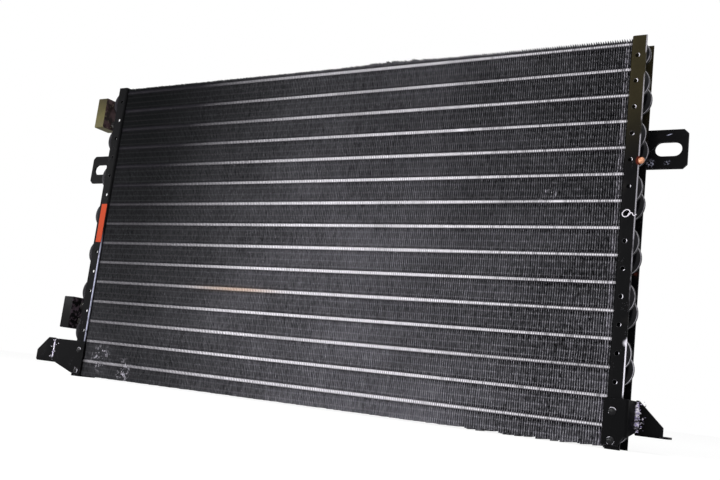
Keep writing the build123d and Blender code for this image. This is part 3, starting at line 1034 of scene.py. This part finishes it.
def build_welds():
    """The beads of the feet's angles and of the lugs."""
    material = finish_for("weld metal", weld_finish)
    for name in ("left_foot_weld", "right_foot_weld"):
        low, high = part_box(name)
        shell = Shell()
        if name.startswith("left"):
            x, y, radius = (low.x + high.x) / 2, high.y + 0.0004, 0.0009
        else:
            x, y, radius = low.x + 0.0010, high.y - 0.0004, 0.0026
        bead(shell, (x, y, low.z + 0.0008), (x, y, high.z - 0.0008), radius, 3.0 + radius, 0.4)
        shuffle = random.Random(3)
        for _ in range(40 if name.startswith("right") else 14):
            far = 0.001 + 0.007 * shuffle.random() ** 2
            side = RIGHT if name.startswith("right") else shuffle.choice((LEFT, RIGHT))
            z = shuffle.uniform(low.z, high.z)
            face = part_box(name.replace("weld", "angle"))[0].y
            spot = shuffle.uniform(0.0003, 0.0008)
            bead(shell, (x + side * far, face, z), (x + side * far, face - 0.0002, z + spot), spot, far * 900)
        shell.piece(f"{name}_bead", material, [name], smooth_angle=60.0)
    for name in ("left_lug_welds", "right_lug_welds"):
        low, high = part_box(name)
        inner_x = low.x if name.startswith("right") else high.x
        shell = Shell()
        for start in (low.z, high.z - 0.012):
            ends = ((inner_x, high.y - 0.0003, start + 0.0004), (inner_x, high.y - 0.0003, start + 0.0116))
            bead(shell, *ends, 0.0013, start * 50)
        shell.piece(f"{name}_bead", bracket_paint(), [name], smooth_angle=60.0)


def build_rivets():
    """Domed rivets with a rim, through the feet and the flanges."""
    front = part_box("right_foot")[0].y
    head = [
        (0.0002, -0.00170), (0.0012, -0.00166), (0.0022, -0.00140),
        (0.0030, -0.00095), (0.0036, -0.00035), (0.0037, 0.0),
    ]
    shank = [
        (0.00195, 0.0), (0.00195, 0.0030), (0.0030, 0.0030),
        (0.0030, 0.0037), (0.0024, 0.0040), (0.0004, 0.0040),
    ]
    material = finish_for("rivets with painted rim highlights", rivet_finish)
    for name in ("left_rivets", "right_rivets"):
        x = node_middle(name).x
        shell = Shell()
        for index in (TUBES_PER_ROW - 2, TUBES_PER_ROW - 1):
            z = rear_z(index)
            shell.turned(lambda u, v, along: Vector((x + u, front + along, z + v)), head + shank)
        shell.piece(f"{name}_domed", material, [name], smooth_angle=40.0)


def build_lips():
    """Crescents on the rims of the right flange's punched holes, carrying painted glints."""
    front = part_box("right_end_plate")[0].y
    x = node_middle("right_rivets").x
    shell = Shell()
    shuffle = random.Random(5)
    rim = 0.0021
    for index in range(TUBES_PER_ROW - 2):
        start, reach = shuffle.uniform(-80, -30), shuffle.uniform(60, 130)
        path = []
        for step in range(9):
            angle = math.radians(start + reach * step / 8)
            path.append((x + rim * math.cos(angle), front - 0.00005, rear_z(index) + rim * math.sin(angle)))
        shell.tube(path, [0.00042 * math.sin(math.pi * (step + 1) / 10) for step in range(9)], 8)
    shell.piece("right_hole_lips", finish_for("hole lips", lip_finish), smooth_angle=60.0)


def rounded_outline(low_u, high_u, low_v, high_v, radius, steps=4):
    """A rectangle with round corners."""
    points = []
    corners = ((high_u, low_v, -90), (high_u, high_v, 0), (low_u, high_v, 90), (low_u, low_v, 180))
    for u, v, start in corners:
        middle_u = u - radius if u == high_u else u + radius
        middle_v = v - radius if v == high_v else v + radius
        for step in range(steps + 1):
            angle = math.radians(start + 90 * step / steps)
            points.append((middle_u + radius * math.cos(angle), middle_v + radius * math.sin(angle)))
    return points


def build_block(name, material):
    """A connection block with its port and its stud hole."""
    low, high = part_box(name)
    middle = node_middle(name)
    outline = rounded_outline(low.y, high.y, low.z, high.z, 0.0012)
    port_radius, port_depth, port_rise = 0.007, 0.009, 0.007
    stud_radius, stud_depth, stud_drop = 0.0034, 0.011, 0.011
    holes = [
        (circle(middle.y, middle.z + port_rise, port_radius, 40), port_depth),
        (circle(middle.y, middle.z - stud_drop, stud_radius, 28), stud_depth),
    ]
    shell = Shell()
    shell.panel(lambda u, v, d: Vector((low.x + d, u, v)), outline, high.x - low.x, holes)
    shell.piece(f"{name}_machined", material, [name], rounded=0.0004)


def build_joints():
    """Brazed collars where the tubes enter the blocks, and a drop of copper on the right flange's edge."""
    radius = sizes().tube_diameter / 2
    collar = ((0.0016, 0.0), (0.0013, 0.0008), (0.0005, 0.0017), (0.0, 0.0030))
    profile = [(radius + height, along) for height, along in collar]
    for block, heights in (("inlet_block", (rear_z(0), rear_z(1))), ("outlet_block", outlet_heights())):
        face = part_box(block)[1].x
        shell = Shell()
        for z in heights:
            shell.turned(lambda u, v, along: Vector((face + along, rear_row_y + u, z + v)), profile)
        shell.piece(f"{block}_braze", finish_for("painted braze", braze_finish), smooth_angle=60.0)
    shell = Shell()
    rings = [(0.0004, -0.0020), (0.0015, -0.0018), (0.0025, -0.0011), (0.0030, 0.0), (0.0026, 0.0012)]
    middle = Vector((COPPER_DROP[0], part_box("right_end_plate")[0].y + 0.0004, COPPER_DROP[1]))
    shell.turned(lambda u, v, along: middle + Vector((u, along + v * 0.1, v * 1.1)), rings)
    shell.piece("copper_drop", finish_for("bare copper", copper_finish), smooth_angle=60.0)


def build_label():
    """A bare strip whose edges are a little frayed."""
    low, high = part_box("flange_label")
    shuffle = random.Random(11)
    steps = 24
    rim = []
    for start, end in (((low.x, low.z), (high.x, low.z)), ((high.x, low.z), (high.x, high.z)),
                       ((high.x, high.z), (low.x, high.z)), ((low.x, high.z), (low.x, low.z))):
        for step in range(steps):
            u, v = (a + (b - a) * step / steps for a, b in zip(start, end))
            rim.append((u + (shuffle.random() - 0.5) * 0.00025, v + (shuffle.random() - 0.5) * 0.00025))
    shell = Shell()
    shell.panel(upright(low.y), rim, high.y - low.y)
    shell.piece("flange_label_strip", finish_for("orange strip", label_finish), ["flange_label"])


def build_wire_tie():
    """A thin wire looped round a punched hole and hooked over the flange's edge."""
    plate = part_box("right_end_plate")
    radius = sizes().wire_diameter / 2
    x, z = node_middle("right_rivets").x, rear_z(6)
    front, loop_radius = plate[0].y - radius, 0.0033
    path = []
    for step in range(33):
        angle = math.radians(-20 + 350 * step / 32)
        wide = loop_radius + 0.0004 * math.sin(2 * angle)
        path.append((x + wide * math.cos(angle), front - 0.0002 * step / 32, z + wide * math.sin(angle)))
    edge = plate[1].x + radius
    for share in (0.2, 0.4, 0.6, 0.8, 1.0):
        lift = 0.0016 * math.sin(share * math.pi * 2)
        across = x + loop_radius + (edge - x - loop_radius) * share
        path.append((across, front - 0.0003, z - 0.0010 + lift))
    back = plate[0].y + sizes().sheet + radius * 2
    path += [(edge, plate[0].y + 0.0008, z - 0.0008), (edge - 0.0004, back, z - 0.0008)]
    shell = Shell()
    shell.tube(path, radius, 10)
    shell.piece("wire_tie_loop", finish_for("tie wire", wire_finish), ["wire_tie"], smooth_angle=60.0)


def build_stage():
    """Pale floor, soft lamps, white surroundings and the camera."""
    scene = bpy.context.scene
    stage = scene.condenser_stage
    scene.view_settings.view_transform = "Standard"
    floor = bpy.data.meshes.new("floor")
    reach = 6.0
    corners = [(-reach, -reach, 0), (reach, -reach, 0), (reach, reach, 0), (-reach, reach, 0)]
    floor.from_pydata(corners, [], [[0, 1, 2, 3]])
    ground = bpy.data.objects.new("floor", floor)
    scene.collection.objects.link(ground)
    paint = Finish("floor paint")
    seen = paint.node("ShaderNodeLightPath").outputs["Is Camera Ray"]
    paint.set(Base_Color=(0.90, 0.90, 0.90), Roughness=0.9, Specular_IOR_Level=0.1)
    glow = paint.node("ShaderNodeEmission", inputs={"Color": (1, 1, 1, 1), "Strength": 1.16})
    part = Value(paint, seen) * 0.72
    mixed = paint.node("ShaderNodeMixShader", inputs={0: part})
    paint.feed(mixed.inputs[1], paint.shader.outputs[0])
    paint.feed(mixed.inputs[2], glow.outputs[0])
    paint.feed(paint.tree.nodes["Material Output"].inputs["Surface"], mixed.outputs[0])
    floor.materials.append(paint.material)
    ground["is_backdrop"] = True

    world = bpy.data.worlds.new("surroundings")
    scene.world = world
    world.use_nodes = True
    sky = Nodes(world.node_tree)
    back = sky.tree.nodes["Background"]
    ray = sky.node("ShaderNodeLightPath").outputs
    shown = sky.math("MAXIMUM", ray["Is Camera Ray"], ray["Is Transmission Ray"])
    shown = sky.math("MAXIMUM", shown, ray["Is Glossy Ray"])
    sky.feed(back.inputs["Color"], (1, 1, 1, 1))
    sky.feed(back.inputs["Strength"], shown * (1 - stage.fill) + stage.fill)

    lamps = (
        ("strip", (-0.62, -1.02, 0.36), (0.0, 0.0, 0.22), 1.9, 0.10, stage.strip_power),
        ("above", (0.5, -0.7, 1.5), (0.0, 0.0, 0.2), 1.2, 1.2, stage.top_power),
    )
    for name, place, aim, long, high, power in lamps:
        lamp = bpy.data.lights.new(name, "AREA")
        lamp.shape = "RECTANGLE"
        lamp.size, lamp.size_y, lamp.energy = long, high, power
        made = bpy.data.objects.new(name, lamp)
        made.location = place
        made.rotation_euler = (Vector(aim) - Vector(place)).to_track_quat("-Z", "Y").to_euler()
        scene.collection.objects.link(made)

    camera = bpy.data.cameras.new("camera")
    camera.sensor_width = 36.0
    camera.lens = stage.lens
    camera.clip_start, camera.clip_end = 0.01, 50.0
    made = bpy.data.objects.new("camera", camera)
    made.location = stage.camera_place
    made.rotation_euler = stage.camera_turn
    scene.collection.objects.link(made)
    scene.camera = made


class BuildOperator:
    """What every operator of this add-on shares."""

    bl_options = {"REGISTER", "UNDO"}


class CONDENSER_OT_fins(BuildOperator, bpy.types.Operator):
    """Build the stack of fins"""

    bl_idname = "condenser.fins"
    bl_label = "Fins"

    def execute(self, context):
        build_fins()
        return {"FINISHED"}


class CONDENSER_OT_tubes(BuildOperator, bpy.types.Operator):
    """Build the tubes with their left bends"""

    bl_idname = "condenser.tubes"
    bl_label = "Tubes"

    def execute(self, context):
        build_tubes()
        return {"FINISHED"}


class CONDENSER_OT_bends(BuildOperator, bpy.types.Operator):
    """Build the bends at the right end"""

    bl_idname = "condenser.bends"
    bl_label = "Right bends"

    def execute(self, context):
        build_bends()
        return {"FINISHED"}


class CONDENSER_OT_end_plates(BuildOperator, bpy.types.Operator):
    """Build both folded end plates"""

    bl_idname = "condenser.end_plates"
    bl_label = "End plates"

    def execute(self, context):
        build_end_plate(LEFT, "left_end_plate")
        build_end_plate(RIGHT, "right_end_plate")
        return {"FINISHED"}


class CONDENSER_OT_lugs(BuildOperator, bpy.types.Operator):
    """Build both slotted lugs"""

    bl_idname = "condenser.lugs"
    bl_label = "Lugs"

    def execute(self, context):
        build_lug("left_lug")
        build_lug("right_lug")
        return {"FINISHED"}


class CONDENSER_OT_feet(BuildOperator, bpy.types.Operator):
    """Build both feet with their angles"""

    bl_idname = "condenser.feet"
    bl_label = "Feet"

    def execute(self, context):
        build_foot("left_foot")
        build_foot("right_foot")
        build_foot_angle("left_foot_angle", 0.0185, 0.0170)
        build_foot_angle("right_foot_angle", 0.0220, 0.0215)
        return {"FINISHED"}


class CONDENSER_OT_welds(BuildOperator, bpy.types.Operator):
    """Build the weld beads"""

    bl_idname = "condenser.welds"
    bl_label = "Weld beads"

    def execute(self, context):
        build_welds()
        return {"FINISHED"}


class CONDENSER_OT_rivets(BuildOperator, bpy.types.Operator):
    """Build the rivets of the feet and the rims of the punched holes"""

    bl_idname = "condenser.rivets"
    bl_label = "Rivets"

    def execute(self, context):
        build_rivets()
        build_lips()
        return {"FINISHED"}


class CONDENSER_OT_blocks(BuildOperator, bpy.types.Operator):
    """Build both connection blocks"""

    bl_idname = "condenser.blocks"
    bl_label = "Connection blocks"

    def execute(self, context):
        build_block("inlet_block", finish_for("passivated block", passivated_finish))
        build_block("outlet_block", finish_for("outlet block", outlet_finish))
        return {"FINISHED"}


class CONDENSER_OT_joints(BuildOperator, bpy.types.Operator):
    """Build the brazed collars and the copper drop"""

    bl_idname = "condenser.joints"
    bl_label = "Brazed joints"

    def execute(self, context):
        build_joints()
        return {"FINISHED"}


class CONDENSER_OT_label(BuildOperator, bpy.types.Operator):
    """Build the orange strip"""

    bl_idname = "condenser.label"
    bl_label = "Strip"

    def execute(self, context):
        build_label()
        return {"FINISHED"}


class CONDENSER_OT_wire_tie(BuildOperator, bpy.types.Operator):
    """Build the tie wire"""

    bl_idname = "condenser.wire_tie"
    bl_label = "Wire tie"

    def execute(self, context):
        build_wire_tie()
        return {"FINISHED"}


class CONDENSER_OT_stage(BuildOperator, bpy.types.Operator):
    """Build the floor, the lamps, the surroundings and the camera"""

    bl_idname = "condenser.stage"
    bl_label = "Stage"

    def execute(self, context):
        build_stage()
        return {"FINISHED"}


OPERATORS = (
    CONDENSER_OT_fins,
    CONDENSER_OT_tubes,
    CONDENSER_OT_bends,
    CONDENSER_OT_end_plates,
    CONDENSER_OT_lugs,
    CONDENSER_OT_feet,
    CONDENSER_OT_welds,
    CONDENSER_OT_rivets,
    CONDENSER_OT_blocks,
    CONDENSER_OT_joints,
    CONDENSER_OT_label,
    CONDENSER_OT_wire_tie,
    CONDENSER_OT_stage,
)


class CONDENSER_PT_panel(bpy.types.Panel):
    """The condenser's pieces, sizes and colours in the sidebar"""

    bl_label = "Condenser"
    bl_space_type = "VIEW_3D"
    bl_region_type = "UI"
    bl_category = "Condenser"

    def draw(self, context):
        layout = self.layout
        for operator in OPERATORS:
            layout.operator(operator.bl_idname)
        for group_name in GROUPS:
            group = getattr(context.scene, group_name)
            box = layout.box()
            for name in group.__annotations__:
                box.prop(group, name)


GROUPS = {
    "condenser_sizes": CondenserSizes,
    "condenser_colours": CondenserColours,
    "condenser_stage": CondenserStage,
}


def register():
    for group in GROUPS.values():
        bpy.utils.register_class(group)
    for name, group in GROUPS.items():
        setattr(bpy.types.Scene, name, PointerProperty(type=group))
    for shown in (*OPERATORS, CONDENSER_PT_panel):
        bpy.utils.register_class(shown)


def unregister():
    for shown in (CONDENSER_PT_panel, *reversed(OPERATORS)):
        bpy.utils.unregister_class(shown)
    for name, group in GROUPS.items():
        delattr(bpy.types.Scene, name)
        bpy.utils.unregister_class(group)


def main():
    """Builds everything."""
    register()
    for operator in OPERATORS:
        family, name = operator.bl_idname.split(".")
        getattr(getattr(bpy.ops, family), name)()
    boxes = {"cad": cad_box, "visual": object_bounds()}
    lists = {name: [list(corner) for corner in box] for name, box in boxes.items()}


if __name__ == "__main__":
    main()
